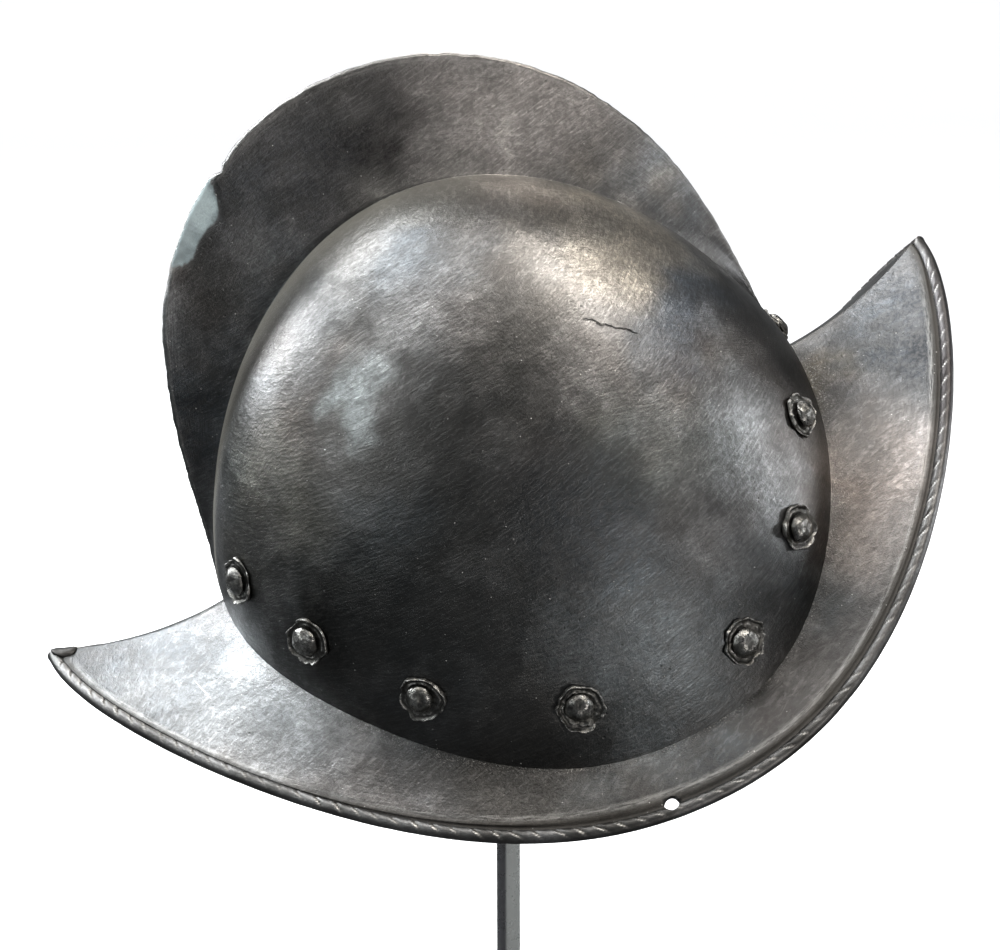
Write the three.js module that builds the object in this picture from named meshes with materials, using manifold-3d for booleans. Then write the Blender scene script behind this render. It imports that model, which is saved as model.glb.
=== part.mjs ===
import * as THREE from "three";
import Module from "manifold-3d";

const wasm = await Module();
wasm.setup();

// A combed morion on a plain display stand, in millimetres, +Z up.
// The origin lies under the stand's post, on the surface that its base rests on.
// The helmet's median plane is the XZ plane. Its front peak points to +X and is tipped up.

// Skull
const FRONT_REACH = 112; // from the helmet's middle to the front end of the skull's foot
const BACK_REACH = 109; // from the middle to the back end of the skull's foot
const SKULL_HALF_WIDTH = 97.2; // from the median plane to the skull's foot at the side
const FRONT_FOOT_RISE = 74.1; // how far the foot climbs to its front end
const BACK_FOOT_RISE = 73; // how far the foot climbs to its back end
const FOOT_GABLE = 5.3; // how far the foot falls away beside its two ends
const CREST_RISE = 108.8; // from the foot's ends to the top of the skull
const WALL = 1.6; // plate thickness

// Comb
const COMB_RISE = 43; // above the skull at its tallest
const COMB_ROOT = 11; // thickness where it leaves the skull
const COMB_EDGE = 3.6; // thickness at its edge
const COMB_CROWN = 1.2; // rounding of the edge

// Brim
const FRONT_PEAK_REACH = 173; // from the middle to the front tip
const BACK_PEAK_REACH = 171.6; // from the middle to the back tip
const BRIM_HALF_WIDTH = 117; // from the median plane to the widest edge
const BRIM_DROP = 12.8; // how far the edge hangs under the foot at the sides
const FRONT_PEAK_RISE = 93.8; // height of the front tip over the foot's lowest line
const BACK_PEAK_RISE = 82.4; // height of the back tip over the foot's lowest line
const EDGE_GABLE = 3.7; // how far the edge falls away beside the tips
const PEAK_SAG = 4.2; // hollow of the peaks' middle line
const ROLL_RADIUS = 2.3; // turned rim
const ROLL_PROUD = 0.8; // how far the rim stands above the band beside it
const BAND_WIDTH = 4; // flat band sunk along the rim
const BAND_DEPTH = 0.5;
const HOLE_RADIUS = 2.4; // lone hole near the rim

// Lining rivets and their rosette washers
const LINING_HEIGHT = 22; // usual height of the rivets over the foot
const FRONT_RIVET_HEIGHT = 8.8; // the one on the median line sits lower
const ROSETTE_RADIUS = 8;
const ROSETTE_RIM = 1.9; // height of the rolled rim
const ROSETTE_SHEET = 0.9;
const ROSETTE_DISH = 5.4; // radius of the flat middle
const PETAL_DEPTH = 0.7;
const PETALS = 8;
const RIVET_RADIUS = 5;
const RIVET_HEIGHT = 3.6;
const SHANK_RADIUS = 2;
const CLENCH_RADIUS = 3.6; // flattened end inside the skull
const CLENCH_THICKNESS = 1.2;

// Stand
const TILT = THREE.MathUtils.degToRad(21.08); // how far the front is tipped up
const POST_RADIUS = 4.5;
const PAD_RADIUS = 24; // domed pad under the crown
const PAD_ROUNDNESS = 62; // radius of the pad's dome
const PAD_THICKNESS = 5;
const BASE_RADIUS = 78;
const BASE_THICKNESS = 10;
const BASE_BEVEL = 1.5;
const BRIM_CLEARANCE = 150; // between the base and the lowest point of the brim
const BALANCE_BACK = 25.5; // the helmet's middle lies this far in front of the post

const GAP = 0.3; // between pieces that touch
const DRILL_REACH = 6; // how far each hole's cutter reaches past the plate's outer face, both ways

// Shape numbers without a length
const FOOT_FULLNESS = 0.874; // under 1 the foot's outline is fuller than an ellipse
const FOOT_SWEEP = 2.46; // over 2 the foot stays low and climbs late
const FOOT_LOW_POINT = 0.129; // shift of the foot's lowest point to the front
const FOOT_WIDER_FRONT = 0.058;
const CREST_FULLNESS = 1.37;
const EDGE_POINTEDNESS = 1.295; // over 1 the brim's outline is more pointed than an ellipse
const EDGE_SWEEP = 2.11;
const EDGE_LOW_POINT = 0.051;
const EDGE_WIDER_FRONT = 0.108;

// Comb height above the skull at even steps from the front end to the back end, as shares of COMB_RISE
const COMB_SHARES = [
  0, 0.005, 0.044, 0.16, 0.316, 0.495, 0.651, 0.786, 0.884, 0.958, 0.993,
  0.998, 0.944, 0.85, 0.712, 0.507, 0.312, 0.149, 0.044, 0.005, 0,
];

// Rivets of one side: station along the foot from front (0) to back (1), height as a share of LINING_HEIGHT
const SIDE_RIVETS = [
  { station: 0.181, height: 1.38 },
  { station: 0.263, height: 1 },
  { station: 0.374, height: 0.81 },
  { station: 0.543, height: 1 },
  { station: 0.682, height: 0.93 },
  { station: 0.785, height: 1.18 },
  { station: 0.86, height: 1.5 },
];

// Place of the lone hole: station along the foot, share of the way out from the foot to the edge
const HOLE = { station: 0.502, share: 0.81 };

const COLUMNS = 64; // around the helmet
const BOWL_ROWS = 7;
const BRIM_SHARES = [0.35, 0.7];
const COMB_ROW_SHARES = [0.3, 0.65];
const ROLL_ANGLES = [100, 58, 18, -22, -62, -102, -142];

const steel = new THREE.MeshStandardMaterial({ color: 0x45423f, roughness: 0.42, metalness: 0.9 });
const washerSteel = new THREE.MeshStandardMaterial({ color: 0x35322f, roughness: 0.5, metalness: 0.85 });
const rivetSteel = new THREE.MeshStandardMaterial({ color: 0x55524d, roughness: 0.4, metalness: 0.9 });
const blackSteel = new THREE.MeshStandardMaterial({ color: 0x26272a, roughness: 0.5, metalness: 0.6 });

// Value at the front for c = 1, at the back for c = -1, and a straight blend between
function blend(front, back, c) {
  return (front + back) / 2 + ((front - back) / 2) * c;
}

// Bump of height 1 near an end of a side, for the sine of the angle from that end
function gable(sine) {
  return 6.75 * Math.abs(sine) * (1 - Math.abs(sine)) ** 2;
}

function signedPower(value, power) {
  return Math.sign(value) * Math.abs(value) ** power;
}

// Line where skull and brim meet. The angle runs from the front over the -Y side to the back.
function foot(angle) {
  const c = Math.cos(angle);
  const s = Math.sin(angle);
  const lift = c - FOOT_LOW_POINT * s * s;
  return new THREE.Vector3(
    blend(FRONT_REACH, BACK_REACH, c) * c,
    -SKULL_HALF_WIDTH * signedPower(s, FOOT_FULLNESS) * (1 + FOOT_WIDER_FRONT * c),
    blend(FRONT_FOOT_RISE, BACK_FOOT_RISE, c) * Math.abs(lift) ** FOOT_SWEEP - FOOT_GABLE * gable(s),
  );
}

// Median line of the skull, under the comb
function crest(angle) {
  const c = Math.cos(angle);
  const ends = blend(FRONT_FOOT_RISE, BACK_FOOT_RISE, c);
  const rise = CREST_RISE * Math.abs(Math.sin(angle)) ** CREST_FULLNESS;
  return new THREE.Vector3(blend(FRONT_REACH, BACK_REACH, c) * c, 0, ends + rise);
}

// Skull surface: each cross-section is half an ellipse from the foot to the crest
function bowl(angle, turn) {
  const low = foot(angle);
  const high = crest(angle);
  return new THREE.Vector3(
    low.x,
    low.y * Math.cos(turn),
    low.z + (high.z - low.z) * Math.sin(turn),
  );
}

// Outermost line of the brim
function edge(angle) {
  const c = Math.cos(angle);
  const s = Math.sin(angle);
  const lift = c - EDGE_LOW_POINT * s * s;
  const tip = blend(FRONT_PEAK_RISE, BACK_PEAK_RISE, lift);
  return new THREE.Vector3(
    blend(FRONT_PEAK_REACH, BACK_PEAK_REACH, c) * c,
    -BRIM_HALF_WIDTH * signedPower(s, EDGE_POINTEDNESS) * (1 + EDGE_WIDER_FRONT * c),
    (BRIM_DROP + tip) * Math.abs(lift) ** EDGE_SWEEP - BRIM_DROP - EDGE_GABLE * gable(s),
  );
}

// Brim surface, from the foot (share 0) to the edge (share 1)
function brim(angle, share) {
  const point = foot(angle).lerp(edge(angle), share);
  point.z -= PEAK_SAG * Math.cos(angle) ** 2 * 4 * share * (1 - share);
  return point;
}

function slope(curve, at, step = 0.02) {
  return curve(at + step).sub(curve(at - step)).normalize();
}

// Unit vector square to a surface, on the side that faces away from the helmet's hollow
function bowlNormal(angle, turn) {
  if (Math.abs(Math.sin(angle)) < 1e-6) {
    return new THREE.Vector3(Math.sign(Math.cos(angle)), 0, 0);
  }
  const around = slope((value) => bowl(value, turn), angle, 0.004);
  const up = bowl(angle, turn + 0.004).sub(bowl(angle, turn - 0.004));
  const normal = around.cross(up).normalize();
  const outward = bowl(angle, turn).sub(new THREE.Vector3(0, 0, FRONT_FOOT_RISE / 2));
  return normal.dot(outward) < 0 ? normal.negate() : normal;
}

function brimNormal(angle, share) {
  const around = slope((value) => brim(value, share), angle);
  const out = brim(angle, share + 0.05).sub(brim(angle, share - 0.05));
  const normal = around.cross(out).normalize();
  return normal.z < 0 ? normal.negate() : normal;
}

// Offset that keeps the wall's thickness on both sides of a fold
function mitre(first, second) {
  return first.clone().add(second).divideScalar(1 + first.dot(second));
}

// Smooth reading of a table of even steps
function readTable(table, share) {
  const place = THREE.MathUtils.clamp(share, 0, 1) * (table.length - 1);
  const index = Math.min(Math.floor(place), table.length - 2);
  const t = place - index;
  const a = table[Math.max(index - 1, 0)];
  const b = table[index];
  const c = table[index + 1];
  const d = table[Math.min(index + 2, table.length - 1)];
  return b + 0.5 * t * (c - a + t * (2 * a - 5 * b + 4 * c - d + t * (3 * (b - c) + d - a)));
}

function combRise(angle) {
  const station = Math.acos(THREE.MathUtils.clamp(Math.cos(angle), -1, 1)) / Math.PI;
  return COMB_RISE * Math.max(readTable(COMB_SHARES, station), 0);
}

// Point above the crest, square to it in the median plane
function overCrest(angle, rise) {
  const inside = Math.acos(THREE.MathUtils.clamp(Math.cos(angle), -0.9999, 0.9999));
  const along = slope(crest, inside, 0.004);
  const out = new THREE.Vector3(along.z, 0, -along.x);
  return crest(angle).addScaledVector(out, rise);
}

// Half the comb's root, narrower where the skull's end is narrow
function rootHalf(angle) {
  const width = Math.abs(foot(angle).y);
  return (COMB_ROOT / 2) * Math.tanh(width / (COMB_ROOT / 2));
}

// Turn of the bowl's section at which the comb starts
function rootTurn(angle) {
  const width = Math.abs(foot(angle).y);
  return width < 1e-6 ? 0 : Math.acos(rootHalf(angle) / width);
}

function combHalf(angle, share) {
  const root = rootHalf(angle);
  const thin = Math.min(COMB_EDGE / 2, root * 0.5);
  return thin + (root - thin) * (1 - share) ** 1.7;
}

function combPoint(angle, share, side) {
  const rise = combRise(angle);
  const crown = Math.min(COMB_CROWN, rise * 0.4);
  const low = bowl(angle, rootTurn(angle));
  const point = low.lerp(overCrest(angle, rise - crown), share);
  point.y = side * combHalf(angle, share);
  return point;
}

// One column of the helmet's plate: out from the comb's top to the rim, and back inside to the comb's hollow
function plateColumn(angle) {
  const side = Math.abs(Math.sin(angle)) < 1e-9 ? 0 : -Math.sign(Math.sin(angle));
  const rows = [];
  const start = rootTurn(angle);
  rows.push(overCrest(angle, combRise(angle)));
  rows.push(combPoint(angle, 1, side));
  for (const share of [...COMB_ROW_SHARES].reverse()) {
    rows.push(combPoint(angle, share, side));
  }
  const turns = [];
  for (let row = 0; row < BOWL_ROWS; row += 1) {
    turns.push(start * (1 - row / BOWL_ROWS));
  }
  for (const turn of turns) {
    rows.push(bowl(angle, turn));
  }
  rows.push(foot(angle));
  for (const share of BRIM_SHARES) {
    rows.push(brim(angle, share));
  }
  // Rim, laid out from its outermost line: out is across the rim, up is square to the brim
  const rimPoint = edge(angle);
  const along = slope(edge, angle);
  const up = brimNormal(angle, 0.97);
  up.addScaledVector(along, -up.dot(along)).normalize();
  const out = along.clone().cross(up);
  if (out.dot(rimPoint.clone().sub(foot(angle))) < 0) {
    out.negate();
  }
  const rim = (across, above) => rimPoint.clone().addScaledVector(out, across).addScaledVector(up, above);
  const centreAbove = ROLL_PROUD - BAND_DEPTH - ROLL_RADIUS;
  const meet = Math.PI - Math.asin((ROLL_RADIUS - ROLL_PROUD) / ROLL_RADIUS);
  const bandStart = -2 * ROLL_RADIUS - BAND_WIDTH;
  rows.push(rim(bandStart - 0.4, 0));
  rows.push(rim(bandStart, -BAND_DEPTH));
  for (const turn of [meet, ...ROLL_ANGLES.map(THREE.MathUtils.degToRad)]) {
    rows.push(rim(ROLL_RADIUS * (Math.cos(turn) - 1), centreAbove + ROLL_RADIUS * Math.sin(turn)));
  }
  rows.push(rim(-2 * ROLL_RADIUS - 1.5, -BAND_DEPTH - WALL));
  rows.push(rim(bandStart - 1, -WALL));
  for (const share of [...BRIM_SHARES].reverse()) {
    rows.push(brim(angle, share).addScaledVector(brimNormal(angle, share), -WALL));
  }
  rows.push(foot(angle).addScaledVector(mitre(brimNormal(angle, 0.1), bowlNormal(angle, 0.02)), -WALL));
  for (const turn of turns.slice(1).reverse()) {
    rows.push(bowl(angle, turn).addScaledVector(bowlNormal(angle, turn), -WALL));
  }
  // Inside of the comb, a fold that closes three quarters of the way up
  const rise = combRise(angle);
  const cheek = new THREE.Vector3(0, side, 0);
  const root = bowl(angle, start).addScaledVector(mitre(cheek, bowlNormal(angle, start)), -WALL);
  const top = overCrest(angle, Math.min(rise * 0.75, rise - WALL));
  const middle = root.clone().lerp(top, 0.5);
  middle.y = side * Math.min(Math.abs(root.y) * 0.8, Math.max(combHalf(angle, 0.38) - WALL, 0.4));
  rows.push(root, middle, top);
  return rows;
}

// Closed solid from columns of points; the first and last rows lie in the median plane and are shared by both sides
function plateSolid() {
  const columns = [];
  for (let index = 0; index < COLUMNS; index += 1) {
    columns.push(plateColumn((index / COLUMNS) * 2 * Math.PI));
  }
  const rows = columns[0].length;
  const positions = [];
  for (const column of columns) {
    for (const point of column) {
      positions.push(point.x, point.y, point.z);
    }
  }
  const triangles = [];
  for (let index = 0; index < COLUMNS; index += 1) {
    const next = (index + 1) % COLUMNS;
    for (let row = 0; row < rows - 1; row += 1) {
      const a = index * rows + row;
      const b = next * rows + row;
      triangles.push(a, b, a + 1, b, b + 1, a + 1);
    }
  }
  return solidFrom(positions, triangles);
}

// Welds equal points and drops triangles that have closed up
function solidFrom(positions, triangles) {
  const grid = 1e-4;
  const seen = new Map();
  const points = [];
  const places = [];
  for (let at = 0; at < positions.length; at += 3) {
    const xyz = positions.slice(at, at + 3);
    const key = xyz.map((value) => Math.round(value / grid)).join(",");
    if (!seen.has(key)) {
      seen.set(key, points.length / 3);
      points.push(...xyz);
    }
    places.push(seen.get(key));
  }
  const kept = [];
  for (let at = 0; at < triangles.length; at += 3) {
    const [a, b, c] = triangles.slice(at, at + 3).map((index) => places[index]);
    if (a !== b && b !== c && c !== a) {
      kept.push(a, b, c);
    }
  }
  const mesh = new wasm.Mesh({
    numProp: 3,
    vertProperties: new Float32Array(points),
    triVerts: new Uint32Array(kept),
  });
  return new wasm.Manifold(mesh);
}

function solidFromGeometry(geometry) {
  const bare = geometry.index ? geometry.toNonIndexed() : geometry;
  const positions = Array.from(bare.attributes.position.array);
  return solidFrom(positions, positions.slice(0, positions.length / 3).map((value, index) => index));
}

function geometryFrom(solid) {
  const mesh = solid.getMesh();
  const geometry = new THREE.BufferGeometry();
  geometry.setAttribute("position", new THREE.BufferAttribute(mesh.vertProperties, 3));
  geometry.setIndex(new THREE.BufferAttribute(mesh.triVerts, 1));
  return geometry;
}

// Turned solid about Z from [radius, height] pairs
function turned(profile, sides) {
  return new THREE.LatheGeometry(profile.map(([radius, height]) => new THREE.Vector2(radius, height)), sides)
    .rotateX(Math.PI / 2);
}

// Frame on the skull's surface, with its Z square to the plate
function seat(angle, turn) {
  const place = bowl(angle, turn);
  const turnTo = new THREE.Quaternion().setFromUnitVectors(new THREE.Vector3(0, 0, 1), bowlNormal(angle, turn));
  return new THREE.Matrix4().compose(place, turnTo, new THREE.Vector3(1, 1, 1));
}

// Turn of the bowl's section at a height over the foot
function turnAt(angle, height) {
  return Math.asin(height / (crest(angle).z - foot(angle).z));
}

// Angle at which the crest has climbed to a height above its front end
function crestAngle(height) {
  return Math.asin((height / CREST_RISE) ** (1 / CREST_FULLNESS));
}

const plate = plateSolid();
const plateMesh = new THREE.Mesh(geometryFrom(plate));

// How far the plate's flat faces reach up and down under a disc that is centred on a seat
function facesUnder(place, radius) {
  const back = place.clone().invert();
  const across = new THREE.Vector3();
  const probe = (x, y, from) => {
    const origin = new THREE.Vector3(x, y, from).applyMatrix4(place);
    const target = new THREE.Vector3(x, y, 0).applyMatrix4(place);
    const ray = new THREE.Raycaster(origin, target.sub(origin).normalize());
    const hit = ray.intersectObject(plateMesh)[0];
    return hit ? across.copy(hit.point).applyMatrix4(back).z : 0;
  };
  const spots = [[0, 0]];
  for (let step = 0; step < 24; step += 1) {
    const angle = (step / 12) * Math.PI;
    const reach = step % 2 === 0 ? radius : radius / 2;
    spots.push([reach * Math.cos(angle), reach * Math.sin(angle)]);
  }
  return {
    top: Math.max(...spots.map(([x, y]) => probe(x, y, 4 * WALL))),
    bottom: Math.min(...spots.map(([x, y]) => probe(x, y, -5 * WALL))),
  };
}

const places = [seat(crestAngle(FRONT_RIVET_HEIGHT), Math.PI / 2)];
for (const side of [1, -1]) {
  for (const { station, height } of SIDE_RIVETS) {
    const angle = side * station * Math.PI;
    places.push(seat(angle, turnAt(angle, height * LINING_HEIGHT)));
  }
}
const seats = places.map((place) => ({
  place,
  top: facesUnder(place, ROSETTE_RADIUS).top,
  bottom: facesUnder(place, CLENCH_RADIUS).bottom,
}));

// Petalled washer with a rolled rim, its underside at Z = 0
function rosetteGeometry() {
  const rings = [
    { radius: SHANK_RADIUS + GAP, height: 0, petal: 0 },
    { radius: ROSETTE_RADIUS - ROSETTE_SHEET, height: 0, petal: 1 },
    { radius: ROSETTE_RADIUS, height: ROSETTE_RIM * 0.6, petal: 1 },
    { radius: ROSETTE_RADIUS - ROSETTE_SHEET, height: ROSETTE_RIM, petal: 1 },
    { radius: ROSETTE_DISH, height: ROSETTE_SHEET, petal: 0 },
    { radius: SHANK_RADIUS + GAP, height: ROSETTE_SHEET, petal: 0 },
  ];
  const steps = PETALS * 2;
  const positions = [];
  for (let step = 0; step < steps; step += 1) {
    const angle = (step / steps) * 2 * Math.PI;
    for (const { radius, height, petal } of rings) {
      const reach = radius - petal * PETAL_DEPTH * (step % 2);
      positions.push(reach * Math.cos(angle), reach * Math.sin(angle), height);
    }
  }
  const triangles = [];
  for (let step = 0; step < steps; step += 1) {
    const next = (step + 1) % steps;
    for (let ring = 0; ring < rings.length; ring += 1) {
      const over = (ring + 1) % rings.length;
      const a = step * rings.length + ring;
      const b = next * rings.length + ring;
      const c = next * rings.length + over;
      const d = step * rings.length + over;
      triangles.push(a, b, c, a, c, d);
    }
  }
  return geometryFrom(solidFrom(positions, triangles));
}

// Rivet with a domed head over the washer, a shank through the plate and a flattened end inside
function rivetGeometry({ top, bottom }) {
  const head = top + ROSETTE_SHEET + 2 * GAP;
  const inner = bottom - GAP;
  const profile = [
    [0, inner - CLENCH_THICKNESS],
    [CLENCH_RADIUS, inner - CLENCH_THICKNESS],
    [CLENCH_RADIUS, inner],
    [SHANK_RADIUS, inner],
    [SHANK_RADIUS, head],
    [RIVET_RADIUS, head],
  ];
  for (const turn of [30, 62]) {
    const angle = THREE.MathUtils.degToRad(turn);
    profile.push([RIVET_RADIUS * Math.cos(angle), head + RIVET_HEIGHT * Math.sin(angle)]);
  }
  profile.push([0, head + RIVET_HEIGHT]);
  return turned(profile, 8);
}

// Round cutter, long enough to pass through the plate
function cutter(radius, sides) {
  return turned([[0, -DRILL_REACH], [radius, -DRILL_REACH], [radius, DRILL_REACH], [0, DRILL_REACH]], sides);
}

// Plate with the rivet holes and the lone hole cut through it
function shellSolid() {
  let solid = plate;
  const drill = cutter(SHANK_RADIUS + GAP, 10);
  for (const { place } of seats) {
    solid = solid.subtract(solidFromGeometry(drill.clone().applyMatrix4(place)));
  }
  const angle = HOLE.station * Math.PI;
  const centre = brim(angle, HOLE.share);
  const turnTo = new THREE.Quaternion().setFromUnitVectors(new THREE.Vector3(0, 0, 1), brimNormal(angle, HOLE.share));
  const punch = cutter(HOLE_RADIUS, 12);
  punch.applyMatrix4(new THREE.Matrix4().compose(centre, turnTo, new THREE.Vector3(1, 1, 1)));
  return solid.subtract(solidFromGeometry(punch));
}

const shell = geometryFrom(shellSolid());

// The helmet is tipped about Y, hung so that its brim clears the base, and pushed forward to balance
const tip = new THREE.Matrix4().makeRotationY(-TILT);
const tipped = shell.clone().applyMatrix4(tip);
tipped.computeBoundingBox();
const lift = BASE_THICKNESS + BRIM_CLEARANCE - tipped.boundingBox.min.z;
const helmet = new THREE.Group();
helmet.rotation.y = -TILT;
helmet.position.set(BALANCE_BACK, 0, lift);
helmet.updateMatrixWorld();

function addPiece(name, geometry, material, parent) {
  const mesh = new THREE.Mesh(geometry, material);
  mesh.name = name;
  parent.add(mesh);
  return mesh;
}

addPiece("helmet_shell", shell, steel, helmet);

const rosette = rosetteGeometry();
seats.forEach((spot, index) => {
  const number = String(index + 1).padStart(2, "0");
  const rest = new THREE.Matrix4().makeTranslation(0, 0, spot.top + GAP);
  addPiece(`rosette_${number}`, rosette, washerSteel, helmet).applyMatrix4(spot.place.clone().multiply(rest));
  addPiece(`rivet_${number}`, rivetGeometry(spot), rivetSteel, helmet).applyMatrix4(spot.place);
});

// Height of the pad's dome at which it just touches the crown, less the gap
function domeCentreHeight() {
  const placed = tipped.clone().translate(BALANCE_BACK, 0, lift).toNonIndexed();
  const corners = placed.attributes.position;
  const triangle = new THREE.Triangle();
  const nearest = new THREE.Vector3();
  const triangles = [];
  for (let at = 0; at < corners.count; at += 3) {
    triangle.setFromAttributeAndIndices(corners, at, at + 1, at + 2);
    if (triangle.getMidpoint(nearest).setZ(0).length() < 2 * PAD_RADIUS) {
      triangles.push(triangle.clone());
    }
  }
  let low = lift;
  let high = placed.boundingBox ? placed.boundingBox.max.z : lift + CREST_RISE * 2;
  for (let round = 0; round < 40; round += 1) {
    const centre = new THREE.Vector3(0, 0, (low + high) / 2 - PAD_ROUNDNESS);
    const distance = Math.min(...triangles.map((item) => item.closestPointToPoint(centre, nearest).distanceTo(centre)));
    if (distance > PAD_ROUNDNESS + GAP) {
      low = (low + high) / 2;
    } else {
      high = (low + high) / 2;
    }
  }
  return low - PAD_ROUNDNESS;
}

// Stand turned in one piece: base, post and pad
function standGeometry() {
  const centre = domeCentreHeight();
  const rimAngle = Math.asin(PAD_RADIUS / PAD_ROUNDNESS);
  const padFoot = centre + PAD_ROUNDNESS * Math.cos(rimAngle) - PAD_THICKNESS;
  const profile = [
    [0, 0],
    [BASE_RADIUS - BASE_BEVEL, 0],
    [BASE_RADIUS, BASE_BEVEL],
    [BASE_RADIUS, BASE_THICKNESS - BASE_BEVEL],
    [BASE_RADIUS - BASE_BEVEL, BASE_THICKNESS],
    [POST_RADIUS * 2, BASE_THICKNESS],
    [POST_RADIUS, BASE_THICKNESS + POST_RADIUS],
    [POST_RADIUS, padFoot - POST_RADIUS],
    [POST_RADIUS * 2, padFoot],
    [PAD_RADIUS * 0.9, padFoot],
    [PAD_RADIUS, padFoot + PAD_THICKNESS * 0.4],
  ];
  for (const share of [1, 0.7, 0.35]) {
    const angle = rimAngle * share;
    profile.push([PAD_ROUNDNESS * Math.sin(angle), centre + PAD_ROUNDNESS * Math.cos(angle)]);
  }
  profile.push([0, centre + PAD_ROUNDNESS]);
  return turned(profile, 32);
}

const group = new THREE.Group();
group.add(helmet);
addPiece("display_stand", standGeometry(), blackSteel, group);

export default group;
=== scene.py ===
"""Steel comb morion on its display stand, dressed over the packed solids."""

import math
import random

import bmesh
import bpy
import numpy as np
from bpy.props import FloatProperty, FloatVectorProperty, IntProperty, PointerProperty
from bpy.types import Operator, Panel, PropertyGroup
from mathutils import Matrix, Vector, noise


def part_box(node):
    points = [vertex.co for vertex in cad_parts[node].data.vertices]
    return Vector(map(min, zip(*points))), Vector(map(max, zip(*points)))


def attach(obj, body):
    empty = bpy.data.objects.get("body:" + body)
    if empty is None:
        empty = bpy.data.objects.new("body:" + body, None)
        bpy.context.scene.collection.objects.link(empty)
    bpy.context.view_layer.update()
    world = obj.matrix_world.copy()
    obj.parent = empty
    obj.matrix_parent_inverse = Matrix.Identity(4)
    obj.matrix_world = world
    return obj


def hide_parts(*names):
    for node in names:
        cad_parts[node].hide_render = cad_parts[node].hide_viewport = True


bl_info = {
    "name": "Comb morion",
    "version": (1, 0, 0),
    "blender": (4, 5, 0),
    "location": "View3D > Sidebar > Morion",
    "description": "Builds a steel comb morion with roped rim, rosettes and display stand",
    "category": "Object",
}

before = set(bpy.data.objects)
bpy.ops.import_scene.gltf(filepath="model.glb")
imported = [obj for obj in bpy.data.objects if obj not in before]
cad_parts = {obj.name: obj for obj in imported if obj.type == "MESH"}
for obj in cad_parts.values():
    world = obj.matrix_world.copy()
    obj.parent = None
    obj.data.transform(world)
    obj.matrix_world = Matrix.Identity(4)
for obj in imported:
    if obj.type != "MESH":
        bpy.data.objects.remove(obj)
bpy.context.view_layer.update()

BODY = "root"
# The comb's height from front to back at even steps of angle, as a share of its tallest
COMB_SHARES = np.array([
    0, 0.005, 0.044, 0.16, 0.316, 0.495, 0.651, 0.786, 0.884, 0.958, 0.993,
    0.998, 0.944, 0.85, 0.712, 0.507, 0.312, 0.149, 0.044, 0.005, 0,
])
# Rivets of one side: angle from the front in half turns, height as a share of the usual height over the foot
SIDE_RIVETS = [(0.181, 1.38), (0.263, 1), (0.374, 0.81), (0.543, 1), (0.682, 0.93), (0.785, 1.18), (0.86, 1.5)]
# The lone hole: angle from the front in half turns, share of the way over the brim
HOLE = (0.502, 0.81)
HOLE_REACH = 0.016
# The curled end of the roll on the back tip
CURL_SIZE, CURL_BEND, CURL_SHIFT = (0.0046, 0.0034, 0.0017), 0.0012, (0.0052, 0, -0.0034)
# Points nearer than this are one point
SEAM, SHORTEST = 2e-6, 1e-6


def size(name, default, description):
    return FloatProperty(
        name=name, default=default, description=description,
        min=0, subtype="DISTANCE", unit="LENGTH", precision=5,
    )


def colour(name, default, description):
    return FloatVectorProperty(
        name=name, default=default, description=description, size=3, min=0, max=1, subtype="COLOR",
    )


class MorionPlate(PropertyGroup):
    """Sizes of the raised plate"""

    front_reach: size("Skull front", 0.112, "From the helmet's middle to the front end of the skull's foot")
    back_reach: size("Skull back", 0.109, "From the middle to the back end of the skull's foot")
    half_width: size("Skull half width", 0.0972, "From the median plane to the skull's foot at the side")
    front_rise: size("Front foot rise", 0.0741, "How far the foot climbs to its front end")
    back_rise: size("Back foot rise", 0.073, "How far the foot climbs to its back end")
    gable: size("Foot gable", 0.0053, "How far the foot falls away beside its two ends")
    crest_rise: size("Crest rise", 0.1088, "From the foot's ends to the top of the skull")
    wall: size("Wall", 0.0016, "Plate thickness")
    comb_rise: size("Comb height", 0.043, "Above the skull at its tallest")
    comb_root: size("Comb root", 0.011, "Thickness where the comb leaves the skull")
    comb_edge: size("Comb edge", 0.0036, "Thickness at the comb's edge")
    comb_crown: size("Comb crown", 0.0012, "Rounding of the comb's edge")
    front_peak: size("Front peak reach", 0.173, "From the middle to the front tip")
    back_peak: size("Back peak reach", 0.1716, "From the middle to the back tip")
    brim_half_width: size("Brim half width", 0.117, "From the median plane to the widest edge")
    brim_drop: size("Brim drop", 0.0128, "How far the edge hangs under the foot at the sides")
    front_peak_rise: size("Front peak rise", 0.0938, "Height of the front tip")
    back_peak_rise: size("Back peak rise", 0.0824, "Height of the back tip")
    edge_gable: size("Edge gable", 0.0037, "How far the edge falls away beside the tips")
    peak_sag: size("Peak sag", 0.0042, "Hollow of the peaks' middle line")
    roll_radius: size("Roll radius", 0.0023, "Radius of the turned rim")
    roll_proud: size("Roll height", 0.0008, "How far the rim stands above the band beside it")
    band_width: size("Band width", 0.004, "Flat band sunk along the rim")
    band_depth: size("Band depth", 0.0005, "Depth of the band")
    hole_radius: size("Hole radius", 0.0024, "Lone hole near the rim")
    tilt: FloatProperty(
        name="Tilt", default=math.radians(21.08), description="How far the front is tipped up",
        subtype="ANGLE", unit="ROTATION",
    )
    forward: size("Forward", 0.0255, "Place of the helmet's middle in front of the post")
    lift: size("Lift", 0.18298, "Height of the foot's lowest line before tipping")
    hammering: size("Hammering", 0.00022, "Depth of the broad hammer marks")
    columns: IntProperty(name="Columns", default=480, description="Faces around the helmet", min=64, max=560)


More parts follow.
